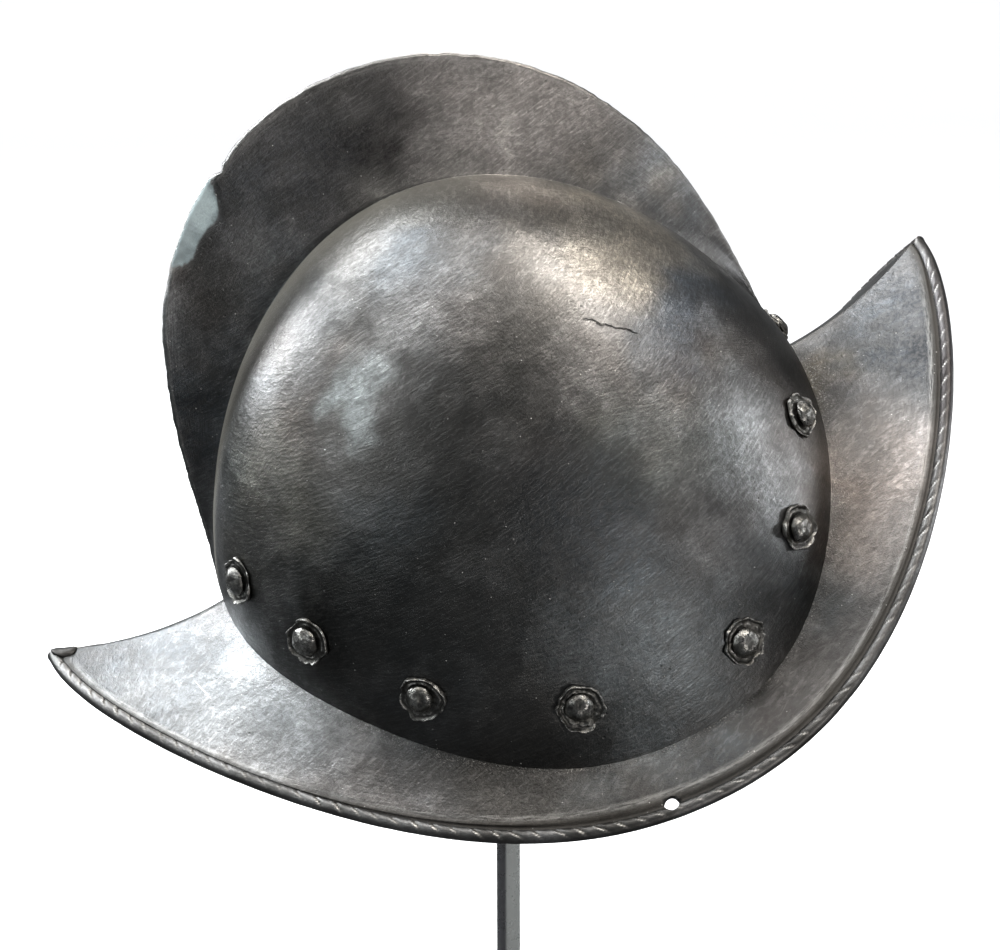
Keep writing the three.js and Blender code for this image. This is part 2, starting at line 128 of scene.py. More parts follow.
class MorionTrim(PropertyGroup):
    """Sizes of rope, rosettes and rivets"""

    rope_pitch: size("Rope pitch", 0.0067, "Spacing of the rope's twists along the rim")
    rope_depth: size("Rope depth", 0.0007, "Depth of the grooves between twists")
    lining_height: size("Lining height", 0.022, "Usual height of the rivets over the foot")
    front_height: size("Front rivet height", 0.0088, "Height of the rivet on the median line")
    rosette_radius: size("Rosette radius", 0.0081, "Reach of the washers' petals")
    rosette_rim: size("Rosette rim", 0.0019, "Height of the rolled rim")
    sheet: size("Washer sheet", 0.0009, "Thickness of the washers")
    rivet_radius: size("Rivet radius", 0.005, "Radius of the domed heads")
    rivet_height: size("Rivet height", 0.0036, "Height of the domed heads")
    shank_radius: size("Shank radius", 0.002, "Radius of the rivets' shanks")
    clench_radius: size("Clench radius", 0.0036, "Radius of the flattened inner ends")
    seed: IntProperty(name="Seed", default=7, description="Changes the hand-made unevenness", min=0)


class MorionStand(PropertyGroup):
    """Sizes of the stand"""

    post_radius: size("Post radius", 0.0045, "Radius of the post")
    pad_radius: size("Pad radius", 0.024, "Radius of the pad under the crown")
    pad_roundness: size("Pad roundness", 0.062, "Radius of the pad's dome")
    pad_thickness: size("Pad thickness", 0.005, "Thickness of the pad at its rim")
    base_radius: size("Base radius", 0.078, "Radius of the base plate")
    base_thickness: size("Base thickness", 0.01, "Thickness of the base plate")
    base_bevel: size("Base bevel", 0.0015, "Rounding of the base plate's edges")


class MorionFinish(PropertyGroup):
    """Colours of the finishes"""

    steel: colour("Steel", (0.27, 0.268, 0.265), "Polished plate")
    patina: colour("Patina", (0.085, 0.082, 0.078), "Old dark surface")
    brown: colour("Brown bloom", (0.16, 0.125, 0.105), "Warm rust bloom")
    blue: colour("Blue bloom", (0.15, 0.18, 0.205), "Cool cast of the tempered plate")
    olive: colour("Olive band", (0.05, 0.045, 0.038), "Dull skin on the band beside the rim")
    # This colour is also laid as painted glints along the fold at the brim's foot
    bright: colour("Bright wear", (0.62, 0.61, 0.58), "Metal rubbed bare on edges")
    washer: colour("Washer iron", (0.1, 0.098, 0.088), "Beaten sheet of the rosettes")
    rivet: colour("Rivet iron", (0.15, 0.148, 0.135), "Worn rivet heads")
    # Painted sheen: the lighter grey laid on the post's right side and along its left edge in place of reflected light
    post_sheen: colour("Rubbed post", (0.135, 0.142, 0.137), "The post's worn right side")
    stand: colour("Stand black", (0.018, 0.018, 0.02), "Satin black paint")
    floor: colour("Floor", (0.9, 0.9, 0.905), "Pale floor and backdrop")


class MorionStage(PropertyGroup):
    """Camera and light"""

    aim: FloatVectorProperty(
        name="Aim", default=(0.005, 0.0, 0.23617), description="Point in the middle of the view",
        size=3, subtype="TRANSLATION", unit="LENGTH", precision=5,
    )
    toward: FloatVectorProperty(
        name="Toward camera", default=(-0.2110, -0.9318, 0.2955),
        description="Direction from the helmet to the camera", size=3, subtype="DIRECTION",
    )
    distance: size("Distance", 0.65084, "From the aim to the camera")
    lens: FloatProperty(name="Lens", default=64.8, description="Focal length in millimetres", min=1)
    shift_x: FloatProperty(name="Shift X", default=-0.02105, description="Sideways shift of the picture")
    shift_y: FloatProperty(name="Shift Y", default=0.03949, description="Upward shift of the picture")


def blend(front, back, c):
    """Front value for c = 1, back value for c = -1"""
    return (front + back) / 2 + (front - back) / 2 * c


def gable(s):
    return 6.75 * abs(s) * (1 - abs(s)) ** 2


def unit(rows):
    return rows / np.maximum(np.linalg.norm(rows, axis=-1, keepdims=True), 1e-12)


class Form:
    """The helmet's lines and surfaces as functions of the angle round it, with arrays for answers"""

    def __init__(self, plate):
        self.p = plate

    def foot(self, a):
        p, c, s = self.p, np.cos(a), np.sin(a)
        rise = abs(c - 0.129 * s * s) ** 2.46
        return np.stack([
            blend(p.front_reach, p.back_reach, c) * c,
            -p.half_width * np.sign(s) * abs(s) ** 0.874 * (1 + 0.058 * c),
            blend(p.front_rise, p.back_rise, c) * rise - p.gable * gable(s),
        ], -1)

    def crest(self, a):
        p, c, s = self.p, np.cos(a), np.sin(a)
        return np.stack([
            blend(p.front_reach, p.back_reach, c) * c,
            0 * c,
            blend(p.front_rise, p.back_rise, c) + p.crest_rise * abs(s) ** 1.37,
        ], -1)

    def bowl(self, a, turn):
        low, high = self.foot(a), self.crest(a)
        up = low[..., 2] + (high[..., 2] - low[..., 2]) * np.sin(turn)
        return np.stack([low[..., 0], low[..., 1] * np.cos(turn), up], -1)

    def edge(self, a):
        p, c, s = self.p, np.cos(a), np.sin(a)
        lift = c - 0.051 * s * s
        tip = blend(p.front_peak_rise, p.back_peak_rise, lift)
        return np.stack([
            blend(p.front_peak, p.back_peak, c) * c,
            -p.brim_half_width * np.sign(s) * abs(s) ** 1.295 * (1 + 0.108 * c),
            (p.brim_drop + tip) * abs(lift) ** 2.11 - p.brim_drop - p.edge_gable * gable(s),
        ], -1)

    def brim(self, a, share):
        part = np.asarray(share, float)[..., None]
        point = self.foot(a) * (1 - part) + self.edge(a) * part
        point[..., 2] -= self.p.peak_sag * np.cos(a) ** 2 * 4 * share * (1 - share)
        return point

    def brim_normal(self, a, share):
        around = self.brim(a + 0.02, share) - self.brim(a - 0.02, share)
        out = self.brim(a, share + 0.05) - self.brim(a, share - 0.05)
        normal = unit(np.cross(around, out))
        return normal * np.where(normal[..., 2:] < 0, -1, 1)

    def bowl_normal(self, a, turn):
        around = self.bowl(a + 0.004, turn) - self.bowl(a - 0.004, turn)
        up = self.bowl(a, turn + 0.004) - self.bowl(a, turn - 0.004)
        normal = unit(np.cross(around, up))
        outward = self.bowl(a, turn) - np.array([0, 0, self.p.front_rise / 2])
        normal = normal * np.where((normal * outward).sum(-1, keepdims=True) < 0, -1, 1)
        end = np.stack([np.sign(np.cos(a)), 0 * a, 0 * a], -1)
        return np.where(abs(np.sin(a))[..., None] < 1e-6, end, normal)

    def comb_height(self, a):
        place = np.arccos(np.clip(np.cos(a), -1, 1)) / np.pi * (len(COMB_SHARES) - 1)
        i = np.minimum(place.astype(int), len(COMB_SHARES) - 2)
        t = place - i
        w, x = COMB_SHARES[np.maximum(i - 1, 0)], COMB_SHARES[i]
        y, z = COMB_SHARES[i + 1], COMB_SHARES[np.minimum(i + 2, len(COMB_SHARES) - 1)]
        share = x + 0.5 * t * (y - w + t * (2 * w - 5 * x + 4 * y - z + t * (3 * (x - y) + z - w)))
        return self.p.comb_rise * np.maximum(share, 0)

    def over_crest(self, a, rise):
        inside = np.arccos(np.clip(np.cos(a), -0.9999, 0.9999))
        along = unit(self.crest(inside + 0.004) - self.crest(inside - 0.004))
        out = np.stack([along[..., 2], 0 * inside, -along[..., 0]], -1)
        return self.crest(a) + out * np.asarray(rise)[..., None]

    def root_half(self, a):
        half = self.p.comb_root / 2
        return half * np.tanh(abs(self.foot(a)[..., 1]) / half)

    def root_turn(self, a):
        width = abs(self.foot(a)[..., 1])
        turn = np.arccos(np.clip(self.root_half(a) / np.maximum(width, 1e-9), -1, 1))
        return np.where(width < 1e-8, 0, turn)

    def comb_half(self, a, share):
        root = self.root_half(a)
        thin = np.minimum(self.p.comb_edge / 2, root * 0.5)
        return thin + (root - thin) * (1 - share) ** 1.7

    def comb(self, a, share, side):
        rise = self.comb_height(a)
        crown = np.minimum(self.p.comb_crown, rise * 0.4)
        low, high = self.bowl(a, self.root_turn(a)), self.over_crest(a, rise - crown)
        point = low + (high - low) * share
        point[..., 1] = side * self.comb_half(a, share)
        return point

    def crown(self, a, turn, side):
        """Rounded edge of the comb: turn 0 at its top, a right angle at its cheek"""
        rise = self.comb_height(a)
        crown = np.minimum(self.p.comb_crown, rise * 0.4)
        point = self.over_crest(a, rise - crown * (1 - math.cos(turn)))
        point[..., 1] = side * self.comb_half(a, 1) * math.sin(turn)
        return point

    def rim(self, a):
        """Outermost line, with the directions out across the rim and up square to the brim"""
        along = unit(self.edge(a + 0.02) - self.edge(a - 0.02))
        up = self.brim_normal(a, 0.97)
        up = unit(up - along * (up * along).sum(-1, keepdims=True))
        out = np.cross(along, up)
        outward = ((self.edge(a) - self.foot(a)) * out).sum(-1, keepdims=True)
        return self.edge(a), out * np.where(outward < 0, -1, 1), up

    def placed(self):
        """The helmet's frame on the stand"""
        return Matrix.Translation((self.p.forward, 0, self.p.lift)) @ Matrix.Rotation(-self.p.tilt, 4, "Y")

    def seat(self, point, normal):
        """Frame at a point of the plate, with Z along its normal"""
        turn_to = Vector(normal).to_track_quat("Z", "Y").to_matrix().to_4x4()
        return self.placed() @ Matrix.Translation(point) @ turn_to

    def seats(self, trim):
        """Frames on the skull for the rosettes and rivets"""
        spots = [(math.asin((trim.front_height / self.p.crest_rise) ** (1 / 1.37)), math.pi / 2)]
        for side in (1, -1):
            for station, height in SIDE_RIVETS:
                angle = side * station * math.pi
                drop = self.crest(angle)[2] - self.foot(angle)[2]
                spots.append((angle, math.asin(height * trim.lining_height / drop)))
        return [self.seat(self.bowl(angle, turn), self.bowl_normal(np.array(angle), turn)) for angle, turn in spots]


def settings(context, *groups):
    return [getattr(context.scene, f"morion_{group}") for group in groups]


def ramp(value, low, high):
    """Smooth step from 0 at low to 1 at high"""
    t = np.clip((value - low) / (high - low), 0, 1)
    return t * t * (3 - 2 * t)


def hump(value, centre, width):
    """1 at the centre, falling away on both sides"""
    return np.exp(-(((value - centre) / width) ** 2))


def wander(*axes):
    """Smooth unevenness at points given by their three coordinates, of which any may be an array"""
    return np.array([noise.noise(Vector(spot)) for spot in np.broadcast(*axes)])


def mitre(first, second):
    """Direction to the corner between two faces that are both moved by a length of 1"""
    return (first + second) / (1 + (first * second).sum(-1, keepdims=True))


def moved(rows, place):
    return rows @ np.array(place.to_3x3()).T + np.array(place.translation)


def ring(rows, marks):
    """Close rows into a tube: the first row comes again at the end, and the ends of the rows meet"""
    rows = np.array([*rows, rows[0]])
    rows[:, -1] = rows[:, 0]
    return rows, {name: np.array([*values, values[0]]) for name, values in marks.items()}


def spread(rows):
    """Directions square to a surface that is laid out in rows of points"""
    return unit(np.cross(np.gradient(rows, axis=1), np.gradient(rows, axis=0)))


def grid_object(name, rows, marks, long_way, across):
    """Mesh of a grid whose points are moved onto rows of points, seams closed, with its marks as attributes"""
    count, columns = rows.shape[:2]
    grid = bmesh.new()
    grid.loops.layers.uv.new("UVMap")
    bmesh.ops.create_grid(grid, x_segments=columns - 1, y_segments=count - 1, size=1, calc_uvs=True)
    mesh = bpy.data.meshes.new(name)
    grid.to_mesh(mesh)
    grid.free()
    flat = np.empty(len(mesh.vertices) * 3)
    mesh.vertices.foreach_get("co", flat)
    flat = flat.reshape(-1, 3)
    column = np.rint((flat[:, 0] + 1) / 2 * (columns - 1)).astype(int)
    row = np.rint((flat[:, 1] + 1) / 2 * (count - 1)).astype(int)
    mesh.vertices.foreach_set("co", rows[row, column].ravel())
    for mark, values in marks.items():
        values = values[row, column].astype(np.float32)
        mesh.attributes.new(mark, "FLOAT", "POINT").data.foreach_set("value", values)
    uv = np.empty(len(mesh.loops) * 2)
    mesh.uv_layers[0].data.foreach_get("uv", uv)
    uv = uv.reshape(-1, 2)
    uv[:, 0] = np.interp(uv[:, 0] * (columns - 1), np.arange(columns), long_way)
    uv[:, 1] = np.interp(uv[:, 1] * (count - 1), np.arange(count), across)
    mesh.uv_layers[0].data.foreach_set("uv", uv.ravel())
    closed = bmesh.new()
    closed.from_mesh(mesh)
    bmesh.ops.remove_doubles(closed, verts=closed.verts, dist=SEAM)
    bmesh.ops.dissolve_degenerate(closed, edges=closed.edges, dist=SHORTEST)
    bmesh.ops.recalc_face_normals(closed, faces=closed.faces)
    return bmesh_object(name, closed, mesh=mesh)


def bmesh_object(name, shape, place=None, mesh=None):
    """Object of a finished shape, set in a place and shaded smooth"""
    if place is not None:
        bmesh.ops.transform(shape, matrix=place, verts=shape.verts)
    for face in shape.faces:
        face.smooth = True
    mesh = mesh or bpy.data.meshes.new(name)
    shape.to_mesh(mesh)
    shape.free()
    piece = bpy.data.objects.new(name, mesh)
    bpy.context.collection.objects.link(piece)
    return piece


def turned(profile, steps):
    """Solid of revolution about Z from [radius, height] pairs that start and end on the axis"""
    shape = bmesh.new()
    corners = [shape.verts.new((radius, 0, height)) for radius, height in profile]
    line = [shape.edges.new(pair) for pair in zip(corners, corners[1:])]
    bmesh.ops.spin(
        shape, geom=corners + line, cent=(0, 0, 0), axis=(0, 0, 1), angle=math.tau, steps=steps, use_merge=True,
    )
    bmesh.ops.remove_doubles(shape, verts=shape.verts, dist=SHORTEST)
    bmesh.ops.recalc_face_normals(shape, faces=shape.faces)
    return shape


def soften(piece):
    smoother = piece.modifiers.new("soften", "SUBSURF")
    smoother.levels = smoother.render_levels = 1


def dress(piece, slot, material, *nodes):
    piece.data.materials.clear()
    piece.data.materials.append(material)
    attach(piece, BODY)
    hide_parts(*nodes)


def punch_hole(form, piece):
    """Cut the lone hole near the rim through a piece"""
    angle = np.array(HOLE[0] * math.pi)
    place = form.seat(form.brim(angle, HOLE[1]), form.brim_normal(angle, HOLE[1]))
    punch, radius = bmesh.new(), form.p.hole_radius
    bmesh.ops.create_cone(punch, cap_ends=True, segments=40, radius1=radius, radius2=radius, depth=HOLE_REACH)
    for corner in punch.verts:
        corner.co.xy *= 1 + 0.07 * noise.noise(Vector((corner.co.x * 500, corner.co.y * 500, 0)))
    punch = bmesh_object("punch", punch, place)
    cut = piece.modifiers.new("lone_hole", "BOOLEAN")
    cut.object, cut.solver, cut.operation = punch, "EXACT", "DIFFERENCE"
    before = len(piece.data.vertices)
    result = bpy.data.meshes.new_from_object(piece.evaluated_get(bpy.context.evaluated_depsgraph_get()))
    piece.modifiers.clear()
    piece.data = result
    bpy.data.objects.remove(punch)
    if len(result.vertices) < before * 0.9:
        raise RuntimeError("the lone hole couldn't be cut")


class Value:
    """A shader socket that works out sums"""

    def __init__(self, shader, socket):
        self.shader, self.socket = shader, socket

    def do(self, operation, *others, clamp=False):
        return self.shader.maths(operation, self, *others, clamp=clamp)

    def __add__(self, other):
        return self.do("ADD", other)

    def __mul__(self, other):
        return self.do("MULTIPLY", other)

    def __sub__(self, other):
        return self.do("SUBTRACT", other)

    def __rsub__(self, other):
        return self.shader.maths("SUBTRACT", other, self)

    __radd__, __rmul__ = __add__, __mul__

    def clamp(self):
        return self.do("ADD", 0.0, clamp=True)

    def over(self, low, high, first=0.0, last=1.0):
        """From first to last in a smooth step while the value goes from low to high"""
        return self.shader.node("ShaderNodeMapRange", 0, self, low, high, first, last, interpolation_type="SMOOTHSTEP")


class Shader:
    """A material built from nodes, with a base colour that is laid on in layers"""

    def __init__(self, name):
        self.material = bpy.data.materials.new(name)
        self.material.use_nodes = True
        self.tree = self.material.node_tree
        self.skin = self.tree.nodes["Principled BSDF"]
        self.place = self.node("ShaderNodeTexCoord", "Object")
        self.base = None

    def node(self, kind, output, *first, **given):
        """Any node: its settings, then its first sockets in their order and others as in_NAME"""
        made = self.tree.nodes.new(kind)
        sockets = {key[3:].replace("_", " "): given.pop(key) for key in list(given) if key.startswith("in_")}
        for key, value in given.items():
            setattr(made, key, value)
        for key, value in (*enumerate(first), *sockets.items()):
            self.feed(made.inputs[key], value)
        return Value(self, made.outputs[output])

    def feed(self, socket, value):
        if isinstance(value, Value):
            self.tree.links.new(value.socket, socket)
        elif hasattr(socket.default_value, "__len__") and len(socket.default_value) == 4 and len(value) == 3:
            socket.default_value = (*value, 1)
        else:
            socket.default_value = value

    def set(self, **inputs):
        for key, value in inputs.items():
            self.feed(self.skin.inputs[key.replace("_", " ")], value)

    def maths(self, operation, *given, clamp=False):
        return self.node("ShaderNodeMath", 0, *given, operation=operation, use_clamp=clamp)

    def vector(self, operation, *given):
        """Vector sum, whose answer is a number for a length or a distance"""
        answer = 1 if operation in ("LENGTH", "DISTANCE") else 0
        return self.node("ShaderNodeVectorMath", answer, *given, operation=operation)

    def stretch(self, source, scale, turn):
        """Coordinates that run the given times faster along turned axes"""
        sizes = tuple(1 / s for s in scale)
        return self.node(
            "ShaderNodeMapping", 0, vector_type="TEXTURE", in_Vector=source, in_Rotation=turn, in_Scale=sizes,
        )

    def scratch(self, centre, rise, long, thin, source=None):
        """1 along a short line seen from the side, rising to the right by an angle in degrees"""
        spot = self.node(
            "ShaderNodeMapping", 0, vector_type="TEXTURE", in_Vector=source or self.place,
            in_Location=centre, in_Rotation=(0, -math.radians(rise), 0), in_Scale=(long, SCRATCH_REACH, thin),
        )
        return self.vector("LENGTH", spot).over(0.5, 1, 1, 0)

    def noise(self, scale, source=None, detail=4.0, rough=0.55, bend=0.0, output="Fac"):
        return self.node(
            "ShaderNodeTexNoise", output, in_Vector=source or self.place,
            in_Scale=scale, in_Detail=detail, in_Roughness=rough, in_Distortion=bend,
        )

    def cells(self, scale):
        return self.node("ShaderNodeTexVoronoi", "Distance", in_Vector=self.place, in_Scale=scale, in_Randomness=1.0)

    def mark(self, name):
        return self.node("ShaderNodeAttribute", "Fac", attribute_name=name)

    def mix(self, share, first, second, how="MIX"):
        made = self.node("ShaderNodeMix", 2, share, data_type="RGBA", blend_type=how)
        for socket, value in ((6, first), (7, second)):
            self.feed(made.socket.node.inputs[socket], value)
        return made

    def lay(self, share, tone):
        """Mix a tone over the base colour"""
        self.base = self.mix(share, self.base, tone)

    def near(self, source, centre, radius, share, squash=None):
        """A share at a place on the helmet, falling to 0 at a radius"""
        if squash:
            far = self.vector("LENGTH", self.vector("MULTIPLY", self.vector("SUBTRACT", source, centre), squash))
        else:
            far = self.vector("DISTANCE", source, centre)
        return far.over(0, radius, share, 0)

    def bump(self, height, depth, **below):
        return self.node("ShaderNodeBump", 0, in_Height=height, in_Distance=depth, in_Strength=1.0, **below)


# Painted reflections, highlights and shade: large patches of light and dark laid into the plate's colour: place,
# reach, share, linear shade, squash along each axis if any
PAINTED_REFLECTIONS = (
    ((-0.045, -0.003, 0.366), 0.06, 1.0, (0.008, 0.008, 0.009), (1, 0, 1.1)),
    ((-0.078, -0.003, 0.35), 0.045, 0.6, (0.072, 0.075, 0.082), (1, 0.6, 1)),
    ((0.006, -0.003, 0.383), 0.06, 0.9, (0.38, 0.355, 0.335), (1, 0.6, 1.3)),
    ((-0.006, -0.004, 0.359), 0.026, 0.7, (0.5, 0.47, 0.44), (1, 0.6, 2.2)),
    ((-0.11, -0.006, 0.276), 0.055, 0.9, (0.02, 0.022, 0.025), (1, 0.6, 1)),
    ((0.01, -0.105, 0.172), 0.06, 0.85, (0.034, 0.031, 0.029), (0.9, 1, 1)),
    ((0.05, -0.108, 0.185), 0.08, 0.9, (0.028, 0.026, 0.025)),
    ((0.095, -0.09, 0.222), 0.065, 0.9, (0.036, 0.034, 0.033)),
    ((0.15, -0.03, 0.304), 0.11, 1.0, (0.022, 0.023, 0.025)),
    ((0.113, -0.064, 0.254), 0.05, 0.75, (0.235, 0.2, 0.178)),
    ((-0.135, -0.018, 0.196), 0.085, 0.9, (0.076, 0.081, 0.085)),
    ((-0.083, -0.062, 0.184), 0.035, 0.5, (0.34, 0.35, 0.36)),
    ((-0.096, -0.046, 0.194), 0.035, 0.5, (0.38, 0.4, 0.41)),
    ((-0.053, -0.082, 0.175), 0.03, 0.5, (0.2, 0.2, 0.205)),
    ((-0.03, -0.088, 0.215), 0.09, 0.8, (0.045, 0.045, 0.042)),
    ((-0.073, -0.065, 0.236), 0.055, 0.95, (0.016, 0.016, 0.014)),
    ((-0.02, -0.08, 0.268), 0.055, 0.75, (0.033, 0.034, 0.035)),
    ((0.012, -0.088, 0.25), 0.06, 0.8, (0.04, 0.044, 0.048)),
    ((-0.078, -0.027, 0.313), 0.035, 0.3, (0.32, 0.335, 0.345)),
    ((-0.061, -0.057, 0.294), 0.016, 0.75, (0.5, 0.54, 0.54)),
    ((-0.057, -0.019, 0.34), 0.03, 0.55, (0.4, 0.39, 0.375)),
    ((-0.033, -0.018, 0.3524), 0.03, 0.6, (0.42, 0.41, 0.38)),
    ((0.006, -0.056, 0.327), 0.03, 0.3, (0.4, 0.38, 0.355)),
    ((0.026, -0.034, 0.344), 0.04, 0.85, (0.5, 0.46, 0.4)),
    ((0.052, -0.075, 0.283), 0.032, 0.6, (0.4, 0.415, 0.415)),
    ((0.078, -0.073, 0.262), 0.026, 0.55, (0.42, 0.43, 0.43)),
    ((0.047, -0.05, 0.32), 0.028, 0.6, (0.15, 0.185, 0.23)),
    ((0.0394, -0.0272, 0.3417), 0.026, 0.8, (0.6, 0.54, 0.46)),
    ((-0.0366, -0.0843, 0.2195), 0.05, 0.5, (0.1, 0.1, 0.098)),
    ((0.022, -0.0964, 0.2097), 0.04, 0.4, (0.2, 0.215, 0.22)),
    ((0.1, -0.022, 0.272), 0.026, 0.6, (0.2, 0.16, 0.1)),
    ((-0.094, -0.035, 0.262), 0.04, 0.5, (0.15, 0.145, 0.115)),
    ((0.03, -0.08, 0.285), 0.03, 0.4, (0.14, 0.15, 0.125)),
    ((0.03, -0.094, 0.212), 0.05, 0.7, (0.15, 0.172, 0.185)),
    ((0.075, -0.078, 0.24), 0.035, 0.5, (0.11, 0.13, 0.14)),
)
# Scratches that catch the light: place, rise in degrees, half length, half thickness
SCRATCHES = (
    ((-0.0805, -0.012, 0.3685), 65, 0.0065, 0.00022),
    ((-0.034, -0.012, 0.347), 38, 0.0045, 0.00018),
    ((-0.029, -0.012, 0.3465), 33, 0.003, 0.00016),
    ((-0.02, -0.012, 0.3905), 20, 0.0035, 0.0002),
    ((0.012, -0.066, 0.301), 60, 0.004, 0.00018),
    ((-0.112, -0.03, 0.192), -35, 0.005, 0.0002),
)
SCRATCH_REACH = 0.012
CRACK = ((0.0215, -0.0635, 0.3183), -16, 0.0115, 0.0004)
CRACK_SHAKE = (0.003, 0, 0.003)
PATCH_DRIFT = (0.07, 0.07, 0.07)
BRUSHED_GAIN = (2.2, 2.2, 2.2)


def plate_material(finish):
    """Dark, hand-polished plate with fine pits, brushed lines and bloom, and with painted reflections, highlights,
    sheen, glints and shade in its colour
    """
    m = Shader("dark_polished_plate")
    band, wear, shade, limb, facet, crease = map(m.mark, ("band", "wear", "inside", "limb", "facet", "crease"))
    cloud = m.noise(16, detail=5, rough=0.6)
    blotch = m.noise(55, detail=4, rough=0.62, bend=0.4)
    fine = m.noise(620, detail=3, rough=0.7)
    grain = m.noise(1500, detail=3, rough=0.7)
    unrolled = m.vector("MULTIPLY", m.node("ShaderNodeTexCoord", "UV"), (1, 7, 1))
    lines = m.noise(150, unrolled, detail=5, rough=0.75, bend=0.3)
    strokes = lines * m.noise(40, detail=3).over(0.38, 0.62)
    cross = m.noise(230, m.stretch(m.place, (0.8, 1, 6), (0.1, -0.6, 0.2)), detail=4, rough=0.75, bend=0.5)
    # Bloom, and patches of painted reflection, highlight and shade whose outlines drift
    drift = m.vector("SUBTRACT", m.noise(26, detail=4, rough=0.5, output="Color"), (0.5, 0.5, 0.5))
    drift = m.vector("MULTIPLY_ADD", drift, PATCH_DRIFT, m.place)
    m.base = m.mix(cloud.over(0.4, 0.68), finish.patina, finish.steel)
    m.lay(m.noise(11, detail=3).over(0.48, 0.72, 0, 0.5), finish.brown)
    m.lay(m.noise(14, m.stretch(m.place, (1, 1, 1), (0.5, 0.2, 1.7)), detail=3).over(0.46, 0.7, 0, 0.6), finish.blue)
    # Painted reflections, highlights and shade, laid one patch after another
    for centre, reach, share, tone, *squash in PAINTED_REFLECTIONS:
        m.lay(m.near(drift, centre, reach, share, *squash), tone)
    m.lay(blotch.over(0.38, 0.62, 0, 0.3), finish.patina)
    # Brushed lines
    paler = m.mix(1.0, m.base, BRUSHED_GAIN, how="MULTIPLY")
    m.lay(strokes.over(0.3, 0.6, 0, 0.4) + cross.over(0.48, 0.64, 0, 0.4), paler)
    m.lay(fine.over(0.4, 0.62, 0, 0.35), finish.patina)
    # The band's dull skin, wear, pits, bright specks, and painted glints: worn specks along the fold at the brim's
    # foot
    speck = m.cells(380).over(0.03, 0.12, 1, 0) * m.noise(160, detail=3).over(0.53, 0.6)
    pit = m.cells(330).over(0.05, 0.2, 1, 0) * m.noise(120, detail=2).over(0.52, 0.66)
    # Painted glints: worn specks made bright along the fold where the skull meets the brim
    worn_painted_glints = crease * grain.over(0.56, 0.63)
    m.lay(band * 0.8, finish.olive)
    m.lay(wear * lines.over(0.34, 0.6, 0, 0.85), finish.bright)
    m.lay(pit * 0.3, finish.patina)
    m.lay((speck * 0.7 + worn_painted_glints * 0.35).clamp(), finish.bright)
    # Painted sheen: a pale, less metallic strip along the rim of the skull against the comb, stronger towards the
    # back; and the filed facet
    m.lay(limb * 0.8, (0.25, 0.24, 0.205))
    filed = m.mix(blotch.over(0.4, 0.62), (0.16, 0.19, 0.195), (0.33, 0.39, 0.395))
    m.lay((facet.over(0.3, 0.7) * (0.7 + fine * 0.5)).clamp(), filed)
    # Scratches and the crack
    scratches = sum((m.scratch(*given) for given in SCRATCHES[1:]), m.scratch(*SCRATCHES[0])).clamp()
    shaken = m.vector("MULTIPLY_ADD", m.noise(330, detail=3, rough=0.5, output="Color"), CRACK_SHAKE, m.place)
    crack = m.scratch(*CRACK, source=shaken) * m.noise(260, detail=2).over(0.36, 0.5)
    m.lay(scratches * 0.6, finish.bright)
    m.lay(crack * 0.7, (0.02, 0.018, 0.016))
    # Painted shade: the inside of the skull and the underside of the brim are darkened with the patina colour; they
    # are also rougher
    m.lay(shade * 0.75, finish.patina)
    rough = 0.2 + blotch * 0.12 + grain * 0.16 + lines * 0.08 + band * 0.25 + shade * 0.2 - wear * 0.08
    height = strokes * 0.7 - crack * 2 + cross * 0.7 + fine * 0.5 + grain * 0.4 - pit * 0.4 + (speck + worn_painted_glints) * 0.4
    normal = m.bump(height, 0.00022)
    normal = m.bump(m.noise(38, detail=3, rough=0.5), 0.0011, in_Normal=normal)
    metal = (1 - limb * 0.55 - facet * 0.45 - band.over(0.66, 1, 0, 0.6)).clamp()
    m.set(Base_Color=m.base, Metallic=metal, Roughness=rough.clamp(), Normal=normal)
    return m.material


def rope_material(finish):
    """Smooth turned roll with a row of bright nicks along its inner side, and painted shade underneath"""
    m = Shader("turned_rim")
    burr, nick, top = map(m.mark, ("burr", "nick", "top"))
    fine = m.noise(900, detail=4, rough=0.7)
    m.base = m.mix(m.noise(45, detail=3).over(0.36, 0.66, 0, 0.7), finish.patina, finish.steel)
    m.lay(fine.over(0.4, 0.62, 0, 0.4), finish.patina)
    # Painted shade: the roll's underside is darkened
    m.lay((1 - top) * 0.8, (0.03, 0.029, 0.027))
    m.lay(nick * 0.8, finish.olive)
    # Painted dark reflection on the roll near the front tip
    m.lay(m.near(m.place, (0.145, -0.04, 0.31), 0.09, 0.75), (0.055, 0.05, 0.052))
    glint = burr * fine.over(0.32, 0.5)
    m.lay(glint * 0.9, finish.bright)
    rough = (0.34 + fine * 0.2 - glint * 0.12).clamp()
    m.set(Base_Color=m.base, Metallic=1.0, Roughness=rough, Normal=m.bump(fine + m.noise(3000) * 0.4, 0.00014))
    return m.material


def iron_material(name, base_colour, edge_colour, dark, shine):
    """Beaten iron: dark in the hollows, rubbed on the high places"""
    m = Shader(name)
    high = m.mark("high")
    lump = m.noise(420, detail=3, rough=0.6)
    fine = m.noise(1700, detail=4, rough=0.7)
    m.base = m.mix(lump.over(0.36, 0.64), dark, base_colour)
    m.lay(high * fine.over(0.35, 0.6, 0, 0.85), edge_colour)
    rough = (shine + fine * 0.2 - high * 0.08).clamp()
    m.set(Base_Color=m.base, Metallic=1.0, Roughness=rough, Normal=m.bump(fine * 0.5 + lump, 0.00025))
    return m.material


